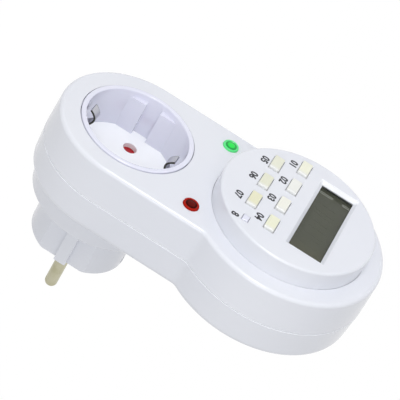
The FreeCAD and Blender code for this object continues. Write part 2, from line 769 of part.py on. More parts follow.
# Bus bars: neutral straight from pin to contact, line and switched line up to the main board
keep(block("neutral_bar", "pinX - barThick / 2", "pinX + barThick / 2", "contactEndY", "pinTailY",
           "-barWidth", "barWidth"), "neutral_bar")
strip("line_bar", [("-pinRadius", "pinTailY - barThick / 2"), ("barOffset", "pinTailY - barThick / 2"),
                   ("barOffset", "barY"), ("barEnd", "barY"), ("barEnd", "mainBoardBackY")],
      "barThick", "-lineSide - barWidth / 2", "-lineSide + barWidth / 2")
tapZ = "contactGap / 2 + leafThick + barThick / 2"
tapPath = [(tapZ, "contactY + tapStart"), (tapZ, "barY"), ("barEnd", "barY"), ("barEnd", "mainBoardBackY")]
strip("switched_bar", tapPath, "barThick", "-tapSide - barWidth / 2", "-tapSide + barWidth / 2")
strip("neutral_tap", tapPath, "barThick", "tapSide - barWidth / 2", "tapSide + barWidth / 2")

# Control head cover: the raised round cap, with openings for the display, the keys and the reset key
cover = newBody("control_cover", "0", "0", "headAxis")
revolve(cover, [("0", "dialY"), ("dialRadius", "dialY"), ("dialRadius", "underFaceY"),
                ("dialRadius + dialStep", "underFaceY"), ("dialRadius + dialStep", "dialStepY"),
                ("dialRadius - dialSide", "dialStepY"), ("dialRadius - dialSide", "underDialY"),
                ("0", "underDialY")])
roundEdges(cover, "dialEdge", lambda edge: lies(edge, "dialY"))
coverSpots = [("coverPostOut", "coverPostRise"), ("-coverPostOut", "coverPostRise"), ("0", "-coverPostDrop")]
coverPosts = sketchOn(cover, "XZ_Plane", "-(boardY)")
for x, z in coverSpots:
    drawCircle(coverPosts, x, z, "coverPostRadius")
pad(cover, coverPosts, "(boardY) - (underDialY)")
coverHoles = sketchOn(cover, "XZ_Plane", "-(boardY)")
for x, z in coverSpots:
    drawCircle(coverHoles, x, z, "boardScrewRadius + fitGap")
pocket(cover, coverHoles, "(boardY) - (underDialY)", rearward=False)
keySpots = [(f"upper_{i + 1}", f"keyPitch * {i} - upperRowStart", "-upperRowDrop") for i in range(4)]
keySpots += [(f"lower_{i + 1}", f"keyPitch * {i} - lowerRowStart", "-lowerRowDrop") for i in range(3)]
displayWindow = sketchOn(cover, "XZ_Plane", "-(dialY)")
drawBox(displayWindow, "displayX - displayWidth / 2", "displayX + displayWidth / 2",
        "displayRise - displayHeight / 2", "displayRise + displayHeight / 2")
pocket(cover, displayWindow, "dialWall")
roundEdges(cover, "displayBevel", lambda edge: lies(edge, "dialY") and isinstance(edge.Curve, Part.Line),
           "Chamfer")
windows = sketchOn(cover, "XZ_Plane", "-(dialY)")
for name, x, z in keySpots:
    drawBox(windows, f"{x} - keyWidth / 2 - keyGap", f"{x} + keyWidth / 2 + keyGap",
            f"{z} - keyHeight / 2 - keyGap", f"{z} + keyHeight / 2 + keyTopGap")
drawBox(windows, "resetX - resetWidth / 2 - keyGap", "resetX + resetWidth / 2 + keyGap",
        "-resetDrop - resetHeight / 2 - keyGap", "-resetDrop + resetHeight / 2 + keyGap")
pocket(cover, windows, "dialWall")
notches = sketchOn(cover, "XZ_Plane", "-(underFaceY)")
for x in ("headScrewOut", "-headScrewOut"):
    drawCircle(notches, x, "headScrewOut", "bossRadius + runGap")
pocket(cover, notches, "dialStepThick")

# Key caps: a bar with a skirt below the cover that stops it falling out
def keyCap(label, x, z, width, height, proud, overhang):
    """One cap, modelled about its own centre. It slides straight in, towards +Y."""
    cap = newBody(label, x, "0", f"headAxis + {z}")
    face = sketchOn(cap, "XZ_Plane", "-(keyBottomY)")
    drawBox(face, f"-{width} / 2", f"{width} / 2", f"-{height} / 2", f"{height} / 2")
    pad(cap, face, f"(keyBottomY) - (dialY) + {proud}")
    frontY = number(f"dialY - {proud}")
    roundEdges(cap, "keyEdge", lambda edge: edge.BoundBox.YMin < frontY + 0.01)
    skirt = sketchOn(cap, "XZ_Plane", "-(skirtY + keySkirtThick)")
    drawBox(skirt, f"-{width} / 2 - {overhang}", f"{width} / 2 + {overhang}",
            f"-{height} / 2 - {overhang}", f"{height} / 2 + {overhang}")
    pad(cap, skirt, "keySkirtThick")


for name, x, z in keySpots:
    keyCap("key_" + name, x, z, "keyWidth", "keyHeight", "keyProud", "keySkirt")
keyCap("key_reset", "resetX", "-resetDrop", "resetWidth", "resetHeight", "resetProud", "resetSkirt")

# Key mat: a silicone sheet on the control board with a dome under each key
sheetBox = block("matSheet", "-matRadius", "matRadius", "boardY - matThick", "boardY",
                 "lowerRowZ - matMargin", "upperRowZ + matMargin")
matDisc = rod("matDisc", "matRadius", "boardY - matThick - cutterRun", "boardY + cutterRun", "0", "headAxis")
matBase = doc.addObject("Part::Common", "matBase")
matBase.Base = sheetBox
matBase.Tool = matDisc
domes = [rod("matDome", "domeRadius", "domeY", "boardY - matThick", x, f"headAxis + {z}")
         for name, x, z in keySpots + [("reset", "resetX", "-resetDrop")]]
keep(joined("key_mat", [matBase] + domes), "key_mat")

# Display: clear window, glass cell and the two rubber connector strips beneath it
glassLeft = "displayX - displayWidth / 2 - glassMargin"
glassRight = "displayX + displayWidth / 2 + glassMargin"
glassLow = "displayZ - displayHeight / 2 - windowMargin"
glassHigh = "displayZ + displayHeight / 2 + windowMargin"
keep(block("display_window", "displayX - displayWidth / 2 - windowMargin",
           "displayX + displayWidth / 2 + windowMargin", "underDialY", "underDialY + windowThick",
           glassLow, glassHigh), "display_window")
keep(block("display_cell", glassLeft, glassRight, "glassY", "glassBackY", glassLow, glassHigh), "display_cell")
for label, low in (("display_connector_lower", glassLow),
                   ("display_connector_upper", f"{glassHigh} - zebraWidth")):
    keep(block(label, f"{glassLeft} + zebraMargin", f"{glassRight} - zebraMargin", "glassBackY", "boardY",
               low, f"{low} + zebraWidth"), label)

# Control board, with the chip, the crystal and the backup cell on its back
boardDisc = rod("controlDisc", "controlBoardRadius", "boardY", "boardBackY", "0", "headAxis")
boardBores = [rod("controlBore", "boardScrewRadius + runGap", "boardY - cutterRun", "boardBackY + cutterRun",
                  x, f"headAxis + {z}") for x, z in coverSpots]
keep(without("control_board", boardDisc, boardBores), "control_board")
keep(block("controller_chip", "chipX - chipSize / 2", "chipX + chipSize / 2", "boardBackY",
           "boardBackY + chipHeight", "headAxis + chipRise - chipSize / 2",
           "headAxis + chipRise + chipSize / 2"), "controller_chip")
keep(rod("crystal", "crystalRadius", "boardBackY", "boardBackY + crystalLength", "chipX",
         "headAxis - crystalDrop"), "crystal")
keep(rod("backup_cell", "cellRadius", "boardBackY", "boardBackY + cellHeight", "cellX",
         "headAxis + cellRise"), "backup_cell")

# Main board, on the rear housing's posts, with the supply parts and the relay on its front
mainBlank = block("mainBlank", "-mainBoardHalf", "mainBoardHalf", "mainBoardY", "mainBoardBackY",
                  "mainBoardLow", "headAxis + mainBoardUp")
mainBores = [rod("mainBore", "boardScrewRadius + runGap", "mainBoardY - cutterRun",
                 "mainBoardBackY + cutterRun", x, z) for x, z in boardSpots]
keep(without("main_board", mainBlank, mainBores), "main_board")
keep(block("relay", "-partGap / 2 - relayWidth", "-partGap / 2", "mainBoardY - relayHeight", "mainBoardY",
           "headAxis - partGap", "headAxis - partGap + relayLength"), "relay")
keep(block("film_capacitor", "partGap / 2", "partGap / 2 + filmWidth", "mainBoardY - filmHeight",
           "mainBoardY", "headAxis - partGap", "headAxis - partGap + filmLength"), "film_capacitor")
keep(rod("smoothing_capacitor", "canRadius", "mainBoardY - canHeight", "mainBoardY", "canX",
         "headAxis + canRise"), "smoothing_capacitor")
discY = "mainBoardY - varistorRadius - varistorRise"
varistorDisc = doc.addObject("Part::Cylinder", "varistorDisc")
varistorDisc.setExpression("Radius", full("varistorRadius"))
varistorDisc.setExpression("Height", full("varistorThick"))
place(varistorDisc, "varistorX", discY, "headAxis - lowPartsDrop - varistorThick / 2")
varistorFoot = block("varistorFoot", "varistorX - varistorRadius / 2", "varistorX + varistorRadius / 2",
                     discY, "mainBoardY", "headAxis - lowPartsDrop - leadThick / 2",
                     "headAxis - lowPartsDrop + leadThick / 2")
keep(joined("varistor", [varistorDisc, varistorFoot]), "varistor")
keep(rod("fuse", "fuseRadius", "mainBoardY - fuseHeight", "mainBoardY", "fuseX",
         "headAxis - lowPartsDrop"), "fuse")

# Board link: a row of pins in a spacer, between the two boards
linkPinCount = 6
headerZ = "headAxis - headerDrop"
spacer = block("linkSpacer", f"-headerPitch * {linkPinCount / 2}", f"headerPitch * {linkPinCount / 2}",
               "mainBoardY - headerWidth", "mainBoardY", f"{headerZ} - headerWidth / 2",
               f"{headerZ} + headerWidth / 2")
linkPins = [rod("linkPin", "headerPin", "boardBackY", "mainBoardY",
                f"headerPitch * {i - (linkPinCount - 1) / 2}", headerZ) for i in range(linkPinCount)]
keep(joined("board_link", [spacer] + linkPins), "board_link")

# Indicator lamps: domed lenses held behind the face, diodes on their own small board, and its leads
for label, x in (("lens_green", "-lampX"), ("lens_red", "lampX")):
    barrel = rod(label + "Barrel", "lensRadius", "faceY - lensProud - cutterRun", "underFaceY", x, "lampZ")
    crown = doc.addObject("Part::Sphere", label + "Crown")
    crown.setExpression("Radius", full("lensCrown"))
    place(crown, x, "faceY - lensProud + lensCrown", "lampZ")
    dome = doc.addObject("Part::Common", label + "Dome")
    dome.Base = barrel
    dome.Tool = crown
    step = rod(label + "Step", "lensRadius + lensStep", "underFaceY", "lensBackY", x, "lampZ")
    keep(joined(label, [dome, step]), label)
for label, x in (("diode_green", "-lampX"), ("diode_red", "lampX")):
    shank = rod(label + "Shank", "lampRadius", "lampBoardY - lampLength + lampRadius", "lampBoardY",
                x, "lampZ")
    nose = doc.addObject("Part::Sphere", label + "Nose")
    nose.setExpression("Radius", full("lampRadius"))
    place(nose, x, "lampBoardY - lampLength + lampRadius", "lampZ")
    keep(joined(label, [shank, nose]), label)
keep(block("lamp_board", "-lampBoardHalf", "lampBoardHalf", "lampBoardY", "lampBoardBackY",
           "lampZ - lampBoardHeight / 2", "lampZ + lampBoardHeight / 2"), "lamp_board")
leadZ = "lampZ + lampBoardHeight / 2 - leadThick"
strip("lamp_lead", [(leadZ, "lampBoardBackY"), (leadZ, "lampBoardBackY + leadStart"),
                    ("mainBoardLow + leadInset", "mainBoardY - leadEnd"),
                    ("mainBoardLow + leadInset", "mainBoardY")],
      "leadThick", "-leadWidth", "leadWidth")

# Screws: four for the housing, three for each board, each set in one node
def screw(name, x, z, seat, tip, shank, head, headHeight, headFront):
    """A pan screw whose head rests on seat. The head faces the front if headFront, else the rear."""
    headEnd = f"{seat} - {headHeight}" if headFront else f"{seat} + {headHeight}"
    ends = (headEnd, seat) if headFront else (seat, headEnd)
    body = (seat, tip) if headFront else (tip, seat)
    return joined(name, [rod(name + "Head", head, *ends, x, z), rod(name + "Shank", shank, *body, x, z)])


def screwSet(label, items):
    group = doc.addObject("Part::Compound", label)
    group.Links = items
    keep(group, label)


screwSet("housing_screws", [screw("housingScrew", x, z, "screwSeatY", "screwTipY", "screwRadius",
                                  "screwHeadRadius", "screwHeadHeight", False) for x, z in screwSpots])
screwSet("main_board_screws", [screw("mainScrew", x, z, "mainBoardY", "backInnerY", "boardScrewRadius",
                                     "boardScrewHead", "boardScrewHeadHeight", True) for x, z in boardSpots])
screwSet("control_board_screws", [screw("controlScrew", x, f"headAxis + {z}", "boardBackY",
                                        "underDialY + coverScrewGap", "boardScrewRadius", "boardScrewHead",
                                        "boardScrewHeadHeight", False) for x, z in coverSpots])

# Check every object, then write each sub-part
doc.removeObject(probe.Name)
doc.recompute()
for item in doc.Objects:
    if "Invalid" in item.State or "Error" in item.State:
        raise RuntimeError("%s failed: %s" % (item.Name, item.State))
os.makedirs("parts", exist_ok=True)
for label, piece in pieces.items():
    shape = piece.Shape
    if shape.isNull() or not shape.isValid() or not shape.Solids:
        raise RuntimeError("%s has no valid solid" % label)
    shape.exportStep("parts/%s.step" % label)
    print(label, len(shape.Solids), round(shape.Volume, 1))
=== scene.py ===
import json
import math
import bpy
import numpy as np
from mathutils import Matrix, Vector


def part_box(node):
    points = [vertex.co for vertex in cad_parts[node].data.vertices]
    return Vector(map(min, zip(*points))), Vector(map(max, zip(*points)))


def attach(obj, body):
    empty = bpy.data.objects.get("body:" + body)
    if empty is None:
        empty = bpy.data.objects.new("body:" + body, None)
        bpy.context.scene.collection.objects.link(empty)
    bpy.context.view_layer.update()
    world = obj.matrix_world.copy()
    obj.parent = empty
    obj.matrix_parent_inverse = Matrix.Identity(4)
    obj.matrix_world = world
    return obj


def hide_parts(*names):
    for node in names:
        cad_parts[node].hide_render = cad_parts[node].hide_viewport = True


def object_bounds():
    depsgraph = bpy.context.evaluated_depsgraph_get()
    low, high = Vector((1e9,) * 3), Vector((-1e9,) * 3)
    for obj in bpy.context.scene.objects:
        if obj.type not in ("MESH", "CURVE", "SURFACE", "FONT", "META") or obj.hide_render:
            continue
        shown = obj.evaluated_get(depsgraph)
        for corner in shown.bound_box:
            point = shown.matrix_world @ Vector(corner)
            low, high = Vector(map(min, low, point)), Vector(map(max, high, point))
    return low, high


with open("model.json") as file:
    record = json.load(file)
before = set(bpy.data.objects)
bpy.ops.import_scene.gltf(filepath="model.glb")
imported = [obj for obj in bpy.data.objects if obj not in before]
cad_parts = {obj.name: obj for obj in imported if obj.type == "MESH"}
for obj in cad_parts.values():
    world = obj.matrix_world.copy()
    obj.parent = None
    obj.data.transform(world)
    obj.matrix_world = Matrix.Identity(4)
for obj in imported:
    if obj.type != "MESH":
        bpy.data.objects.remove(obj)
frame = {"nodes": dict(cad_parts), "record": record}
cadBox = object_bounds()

# Plug-in timer switch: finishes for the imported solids, printed numerals, lamp lenses and display marks.
# Lengths are in metres. The front looks along -Y, the control head is at the top, +Z.
mm = 0.001
nodes = frame["nodes"]


# Camera: solved from outlines in the photograph, with the socket's rim at 43 mm across as the scale
view = {
    "place": (0.568985, -0.489846, 0.050098),
    "right": (-0.34599, -0.40738, 0.84518),
    "up": (-0.51006, -0.67441, -0.53387),
    "ahead": (-0.78749, 0.61580, -0.02555),
    "focalPixels": 2031.96,
    "imagePixels": 400,
    "sensor": 36.0,
    "clip": (0.01, 20.0),
}


def makeCamera():
    data = bpy.data.cameras.new("camera")
    data.sensor_width = view["sensor"]
    data.lens = view["focalPixels"] / view["imagePixels"] * view["sensor"]
    data.clip_start, data.clip_end = view["clip"]
    camera = bpy.data.objects.new("camera", data)
    bpy.context.collection.objects.link(camera)
    columns = [Vector(view["right"]), Vector(view["up"]), -Vector(view["ahead"])]
    turn = Matrix(columns).transposed()
    camera.matrix_world = Matrix.Translation(view["place"]) @ turn.to_4x4()
    bpy.context.scene.camera = camera


# Shader maths: a value is a node's output, and arithmetic on it adds Math nodes
class Value:
    def __init__(self, maker, socket):
        self.maker, self.socket = maker, socket

    def maths(self, operation, *parts):
        return self.maker.node("ShaderNodeMath", {"operation": operation}, dict(enumerate(parts)))

    def __add__(self, other):
        return self.maths("ADD", self, other)

    def __mul__(self, other):
        return self.maths("MULTIPLY", self, other)

    def __rsub__(self, other):
        return self.maths("SUBTRACT", other, self)

    def smooth(self, low, high):  # 0 below low, 1 above high, eased between
        ranges = {0: self, 1: low, 2: high, 3: 0.0, 4: 1.0}
        return self.maker.node("ShaderNodeMapRange", {"interpolation_type": "SMOOTHSTEP"}, ranges)

    def within(self, low, high, soft):  # 1 between low and high, 0 outside, eased over soft
        return self.smooth(low, low + soft) * (1.0 - self.smooth(high - soft, high))


# The Mix node's sockets for colours: the ones for numbers and vectors come before them
mixSockets = {"first": 6, "second": 7, "result": 2}


class Maker:
    def __init__(self, name):
        self.material = bpy.data.materials.new(name)
        self.material.use_nodes = True
        self.tree = self.material.node_tree
        self.shader = self.tree.nodes["Principled BSDF"]

    # adds one node: its settings first, then the values or links of its sockets
    def node(self, kind, settings=None, inputs=None, output=0):
        item = self.tree.nodes.new(kind)
        for key, value in (settings or {}).items():
            setattr(item, key, value)
        for key, value in (inputs or {}).items():
            self.feed(item.inputs[key], value)
        return Value(self, item.outputs[output])

    def feed(self, socket, value):
        if isinstance(value, Value):
            self.tree.links.new(value.socket, socket)
        elif socket.type == "RGBA":
            socket.default_value = (*value, 1.0)
        else:
            socket.default_value = value

    def place(self, scale=(1, 1, 1), shift=(0, 0, 0)):
        where = self.node("ShaderNodeTexCoord", output="Object")
        return self.node("ShaderNodeMapping", None, {"Vector": where, "Location": shift, "Scale": scale})

    def along(self, axis, shift=(0, 0, 0)):  # millimetres along one axis of the object
        where = self.place((1 / mm, 1 / mm, 1 / mm), shift)
        return self.node("ShaderNodeSeparateXYZ", None, {0: where}, axis)

    def noise(self, scale, detail=2.0, stretch=(1, 1, 1)):
        return self.node("ShaderNodeTexNoise", None,
                         {"Vector": self.place(stretch), "Scale": scale, "Detail": detail})

    def mix(self, share, first, second):
        settings = {"data_type": "RGBA", "blend_type": "MIX"}
        item = self.node("ShaderNodeMix", settings, {"Factor": share})
        mixer = item.socket.node
        self.feed(mixer.inputs[mixSockets["first"]], first)
        self.feed(mixer.inputs[mixSockets["second"]], second)
        return Value(self, mixer.outputs[mixSockets["result"]])

    def bump(self, height, depth, strength=1.0):
        inputs = {"Height": height, "Distance": depth, "Strength": strength}
        self.feed(self.shader.inputs["Normal"], self.node("ShaderNodeBump", None, inputs))

    def set(self, **values):  # keyword names with _ for a space
        for key, value in values.items():
            self.feed(self.shader.inputs[key.replace("_", " ")], value)
        return self.material


# Moulded plastics: colour that drifts a little over the part, fine orange peel and light handling haze
plastics = {
    "white_plastic": {"colour": (0.770, 0.786, 0.840), "drift": (0.748, 0.766, 0.826), "rough": 0.24,
                      "haze": 0.06, "peel": 0.5, "coat": 0.35},
    "well_plastic": {"colour": (0.765, 0.770, 0.885), "drift": (0.745, 0.752, 0.875), "rough": 0.16,
                     "haze": 0.05, "peel": 0.35, "coat": 0.5},
    # painted light: the socket's floor, a paler lit copy of the well plastic
    "floor_plastic": {"colour": (0.970, 0.985, 0.998), "drift": (0.955, 0.975, 0.995), "rough": 0.2,
                      "haze": 0.05, "peel": 0.4, "coat": 0.4},
    "carrier_plastic": {"colour": (0.66, 0.66, 0.62), "drift": (0.60, 0.60, 0.56), "rough": 0.5,
                        "haze": 0.08, "peel": 1.0, "coat": 0.0},
    "shutter_plastic": {"colour": (0.42, 0.006, 0.014), "drift": (0.34, 0.005, 0.012), "rough": 0.28,
                        "haze": 0.06, "peel": 0.6, "coat": 0.2},
    "black_plastic": {"colour": (0.020, 0.020, 0.022), "drift": (0.030, 0.030, 0.032), "rough": 0.48,
                      "haze": 0.08, "peel": 1.2, "coat": 0.0},
    "relay_plastic": {"colour": (0.020, 0.070, 0.280), "drift": (0.018, 0.060, 0.240), "rough": 0.3,
                      "haze": 0.06, "peel": 0.6, "coat": 0.1},
    "film_plastic": {"colour": (0.52, 0.33, 0.03), "drift": (0.46, 0.28, 0.03), "rough": 0.34,
                     "haze": 0.06, "peel": 0.6, "coat": 0.1},
    "fuse_plastic": {"colour": (0.015, 0.015, 0.018), "drift": (0.022, 0.022, 0.025), "rough": 0.3,
                     "haze": 0.06, "peel": 0.5, "coat": 0.1},
    "varistor_coat": {"colour": (0.020, 0.060, 0.230), "drift": (0.030, 0.080, 0.270), "rough": 0.42,
                      "haze": 0.10, "peel": 3.0, "coat": 0.0},
    "silicone": {"colour": (0.66, 0.66, 0.63), "drift": (0.62, 0.62, 0.60), "rough": 0.6,
                 "haze": 0.08, "peel": 0.8, "coat": 0.0},
    "connector_rubber": {"colour": (0.030, 0.030, 0.030), "drift": (0.045, 0.045, 0.045), "rough": 0.7,
                         "haze": 0.06, "peel": 0.8, "coat": 0.0},
    "lead_plastic": {"colour": (0.20, 0.20, 0.21), "drift": (0.17, 0.17, 0.18), "rough": 0.45,
                     "haze": 0.06, "peel": 0.6, "coat": 0.0},
    "diode_epoxy": {"colour": (0.62, 0.64, 0.62), "drift": (0.58, 0.60, 0.58), "rough": 0.15,
                    "haze": 0.04, "peel": 0.3, "coat": 0.4},
}
plasticScales = {"drift": 22.0, "driftDetail": 1.0, "driftRange": (0.35, 0.65), "haze": 75.0,
                 "hazeDetail": 4.0, "peel": 620.0, "peelDepth": 4e-6, "coatRough": 0.08, "index": 1.5}

# At the seam the shells' edges lean to the front in the bump and carry a paler band, a painted highlight,
# given in millimetres along Y
seam = {"from": -42.45, "to": -41.75, "step": 0.5, "soft": 0.1, "colour": (0.930, 0.955, 1.000)}


def plastic(name, edit=None):
    look = plastics[name]
    maker = Maker(name)
    scales = plasticScales
    drift = maker.noise(scales["drift"], scales["driftDetail"]).smooth(*scales["driftRange"])
    haze = maker.noise(scales["haze"], scales["hazeDetail"])
    height = maker.noise(scales["peel"]) * (scales["peelDepth"] * look["peel"])
    colour = maker.mix(drift, look["colour"], look["drift"])
    if name == "white_plastic":
        depth = maker.along("Y")
        height = height + depth.smooth(seam["from"], seam["to"]) * (seam["step"] * mm)
        # painted highlight: a paler band along the seam
        colour = maker.mix(depth.within(seam["from"], seam["to"], seam["soft"]), colour, seam["colour"])
    maker.bump(height, 1.0)
    return maker.set(Base_Color=edit(maker, colour) if edit else colour,
                     Roughness=haze * (2 * look["haze"]) + (look["rough"] - look["haze"]),
                     Coat_Weight=look["coat"], Coat_Roughness=scales["coatRough"], IOR=scales["index"])


# The control cover has a painted highlight: a paler colour on the slope at the display's end, given in
# millimetres
slope = {"X": (-22.8, -20.6), "Z": (64.3, 80.2), "soft": 0.1, "colour": (0.880, 0.895, 0.935)}


def coverPlastic(name):
    # painted highlight on the slope at the display's end
    def paintSlopeHighlight(maker, colour):
        across, up = [maker.along(axis).within(*slope[axis], slope["soft"]) for axis in ("X", "Z")]
        return maker.mix(across * up, colour, slope["colour"])
    return plastic(name, paintSlopeHighlight)


# Key caps: cream tops, with the sides and the +X end painted whiter as painted light, each cap with a
# slightly different tint
keyTints = {
    "key_upper_1": (0.850, 0.850, 0.680), "key_upper_2": (0.830, 0.835, 0.790),
    "key_upper_3": (0.850, 0.845, 0.760), "key_upper_4": (0.820, 0.825, 0.610),
    "key_lower_1": (0.770, 0.775, 0.630), "key_lower_2": (0.750, 0.755, 0.590),
    "key_lower_3": (0.770, 0.755, 0.510),
}
keyLook = {"side": (0.80, 0.81, 0.80), "turn": (0.08, 0.32), "pale": (6.6, 8.4), "paleShare": 0.75,
           "cloud": 300.0, "cloudShare": 0.25, "cloudRough": 0.3, "rough": 0.34, "coat": 0.1,
           "peel": 900.0, "peelDepth": 3e-6}


def keyPlastic(name):
    maker = Maker(name + "_plastic")
    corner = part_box(name)[0]
    shift = (-corner[0] / mm, -corner[1] / mm, 0)
    # painted light: below its top the cap turns to the whiter side colour, and its +X end is painted paler
    top = 1.0 - maker.along("Y", shift).smooth(*keyLook["turn"])
    pale = maker.along("X", shift).smooth(*keyLook["pale"])
    cloud = maker.noise(keyLook["cloud"]) * keyLook["cloudShare"]
    tint = maker.mix(pale * keyLook["paleShare"] + cloud, keyTints[name], keyLook["side"])
    maker.bump(maker.noise(keyLook["peel"]), keyLook["peelDepth"])
    return maker.set(Base_Color=maker.mix(top, keyLook["side"], tint), Coat_Weight=keyLook["coat"],
                     Roughness=cloud * keyLook["cloudRough"] + keyLook["rough"])


# Metals: turned pins with fine rings, stamped strips with rolling lines, plated screws
metals = {
    "plated_brass": {"colour": (0.52, 0.50, 0.37), "worn": (0.46, 0.44, 0.30), "rough": 0.28,
                     "lines": (60, 2400, 60), "depth": 3e-6},
    "brass": {"colour": (0.60, 0.42, 0.14), "worn": (0.52, 0.36, 0.12), "rough": 0.34,
              "lines": (1800, 60, 60), "depth": 2e-6},
    "spring_steel": {"colour": (0.58, 0.58, 0.61), "worn": (0.50, 0.50, 0.52), "rough": 0.34,
                     "lines": (1800, 90, 90), "depth": 3e-6},
    "screw_steel": {"colour": (0.46, 0.46, 0.47), "worn": (0.38, 0.38, 0.38), "rough": 0.34,
                    "lines": (400, 900, 400), "depth": 3e-6},
    "can_metal": {"colour": (0.60, 0.60, 0.62), "worn": (0.54, 0.54, 0.55), "rough": 0.3,
                  "lines": (300, 900, 300), "depth": 2e-6},
}
metalScales = {"patch": 160.0, "patchDetail": 3.0, "patchRange": (0.4, 0.7), "lineRough": 0.12,
               "patchRough": 0.08}


def metal(name, edit=None):
    look = metals[name]
    maker = Maker(name)
    scales = metalScales
    lines = maker.noise(1.0, stretch=look["lines"])
    patch = maker.noise(scales["patch"], scales["patchDetail"]).smooth(*scales["patchRange"])
    maker.bump(lines, look["depth"])
    colour = maker.mix(patch, look["colour"], look["worn"])
    return maker.set(Base_Color=edit(maker, colour) if edit else colour, Metallic=1.0,
                     Roughness=lines * scales["lineRough"] + patch * scales["patchRough"] + look["rough"])


# The earthing strip has dull cut edges on both sides of its width, given in millimetres along X
stripEdges = {"half": 2.2, "cut": 0.25, "colour": (0.10, 0.10, 0.075)}


def stripMetal(name):
    def darken(maker, colour):
        across, half = maker.along("X"), stripEdges["half"]
        edge = across.maths("ABSOLUTE", across).smooth(half - stripEdges["cut"], half)
        return maker.mix(edge, colour, stripEdges["colour"])
    return metal(name, darken)


# Circuit board: solder mask over faint copper tracks
boardLook = {"mask": (0.018, 0.120, 0.045), "track": (0.030, 0.190, 0.070), "pitch": 420.0,
             "edge": (0.05, 0.12), "step": 2e-5, "strength": 0.6, "rough": 0.3, "maskRough": 0.1}


def boardCoat(name):
    maker = Maker(name)
    cells = maker.node("ShaderNodeTexVoronoi", {"feature": "DISTANCE_TO_EDGE", "distance": "MANHATTAN"},
                       {"Vector": maker.place(), "Scale": boardLook["pitch"]})
    mask = cells.smooth(*boardLook["edge"])
    maker.bump(mask, boardLook["step"], boardLook["strength"])
    return maker.set(Base_Color=maker.mix(mask, boardLook["track"], boardLook["mask"]),
                     Roughness=mask * boardLook["maskRough"] + boardLook["rough"])


# Display: an olive grey cell that is a little warmer towards one end, behind a clear window
displayLook = {"colour": (0.055, 0.059, 0.036), "warm": (0.076, 0.074, 0.032), "warmRange": (6.0, 24.0),
               "grain": (0.042, 0.045, 0.034), "grainScale": 2500.0, "grainDetail": 1.0, "grainShare": 0.08,
               "rough": 0.2, "gloss": 0.3}
windowLook = {"colour": (0.24, 0.25, 0.24), "haze": 120.0, "hazeDetail": 3.0, "rough": 0.04,
              "hazeRough": 0.06, "alpha": 0.04, "hazeAlpha": 0.03}


def displayGlass(name):
    maker = Maker(name)
    look = displayLook
    grain = maker.noise(look["grainScale"], look["grainDetail"]) * look["grainShare"]
    shade = maker.mix(maker.along("X").smooth(*look["warmRange"]), look["colour"], look["warm"])
    return maker.set(Base_Color=maker.mix(grain, shade, look["grain"]), Specular_IOR_Level=look["gloss"],
                     Roughness=grain + look["rough"])


def clearWindow(name):
    maker = Maker(name)
    look = windowLook
    haze = maker.noise(look["haze"], look["hazeDetail"])
    return maker.set(Base_Color=look["colour"], Roughness=haze * look["hazeRough"] + look["rough"],
                     Alpha=haze * look["hazeAlpha"] + look["alpha"])


# Lamp lenses: tinted plastic with painted light and shade: brighter over the diode, dark in the ring round it
# and bright at the rim, with a little glow by emission
lensLooks = {
    "lens_green": {"centre": (0.010, 0.70, 0.07), "ring": (0.004, 0.30, 0.05), "rim": (0.10, 0.72, 0.22),
                   "glow": 0.12, "gloss": 0.3},
    "lens_red": {"centre": (0.105, 0.004, 0.002), "ring": (0.050, 0.002, 0.001), "rim": (0.36, 0.012, 0.005),
                 "glow": 0.05, "gloss": 0.05},
}
lensBands = {"inner": (1.2, 1.7), "outer": (2.0, 2.3), "cloud": 700.0, "cloudRough": 0.1, "rough": 0.12}


def lensPlastic(name, centre):
    look, bands = lensLooks[name], lensBands
    maker = Maker(name + "_plastic")
    flat = maker.place((1 / mm, 0, 1 / mm), (-centre[0] / mm, 0, -centre[2] / mm))
    away = maker.node("ShaderNodeVectorMath", {"operation": "LENGTH"}, {0: flat}, "Value")
    # painted light and shade: a brighter centre, a dark ring and a bright rim
    inside = maker.mix(away.smooth(*bands["inner"]), look["centre"], look["ring"])
    shade = maker.mix(away.smooth(*bands["outer"]), inside, look["rim"])
    cloud = maker.noise(bands["cloud"])
    return maker.set(Base_Color=shade, Roughness=cloud * bands["cloudRough"] + bands["rough"],
                     Specular_IOR_Level=look["gloss"], Emission_Color=shade, Emission_Strength=look["glow"])


# Surfaces worked out with numpy
def addMesh(name, points, faces, smooth=True):
    mesh = bpy.data.meshes.new(name)
    mesh.from_pydata(points.tolist(), [], [tuple(map(int, face)) for face in faces])
    mesh.update()
    mesh.polygons.foreach_set("use_smooth", np.full(len(mesh.polygons), smooth))
    piece = bpy.data.objects.new(name, mesh)
    bpy.context.collection.objects.link(piece)
    return piece


def gridFaces(rows, columns):  # quads of a grid whose columns close into a ring
    row, column = np.meshgrid(np.arange(rows - 1), np.arange(columns), indexing="ij")
    nextColumn = (column + 1) % columns
    corners = [row * columns + column, row * columns + nextColumn,
               (row + 1) * columns + nextColumn, (row + 1) * columns + column]
    return np.stack([corner.ravel() for corner in corners], 1)


# A turned surface: each profile point (radius, y) goes round the Y axis through the centre
def turned(name, profile, centre, sides=72):
    radius, height = np.array(profile).T
    turn = np.linspace(0, 2 * np.pi, sides, endpoint=False)
    x = centre[0] + radius[:, None] * np.cos(turn)
    z = centre[2] + radius[:, None] * np.sin(turn)
    y = np.repeat(height[:, None], sides, 1)
    points = np.stack([x, y, z], -1).reshape(-1, 3)
    faces = gridFaces(len(profile), sides)
    ends = [tuple(range(sides))[::-1], tuple(range(len(points) - sides, len(points)))]
    return addMesh(name, points, [*faces, *ends])


# Lens: a rim that rolls over, a groove, and a low dome over the diode, given in millimetres
lensShape = {"rimRadius": 3.0, "rimRise": 0.75, "rollRadius": 0.45, "rollSteps": 10,
             "grooveRadius": 1.95, "grooveRise": 0.45, "slopeSteps": 13,
             "domeRise": 0.85, "domeStart": 0.12, "domeEnd": 0.985, "domeSteps": 14,
             "flangeRadius": 3.8, "flangeThick": 0.8, "backRadius": 0.02}


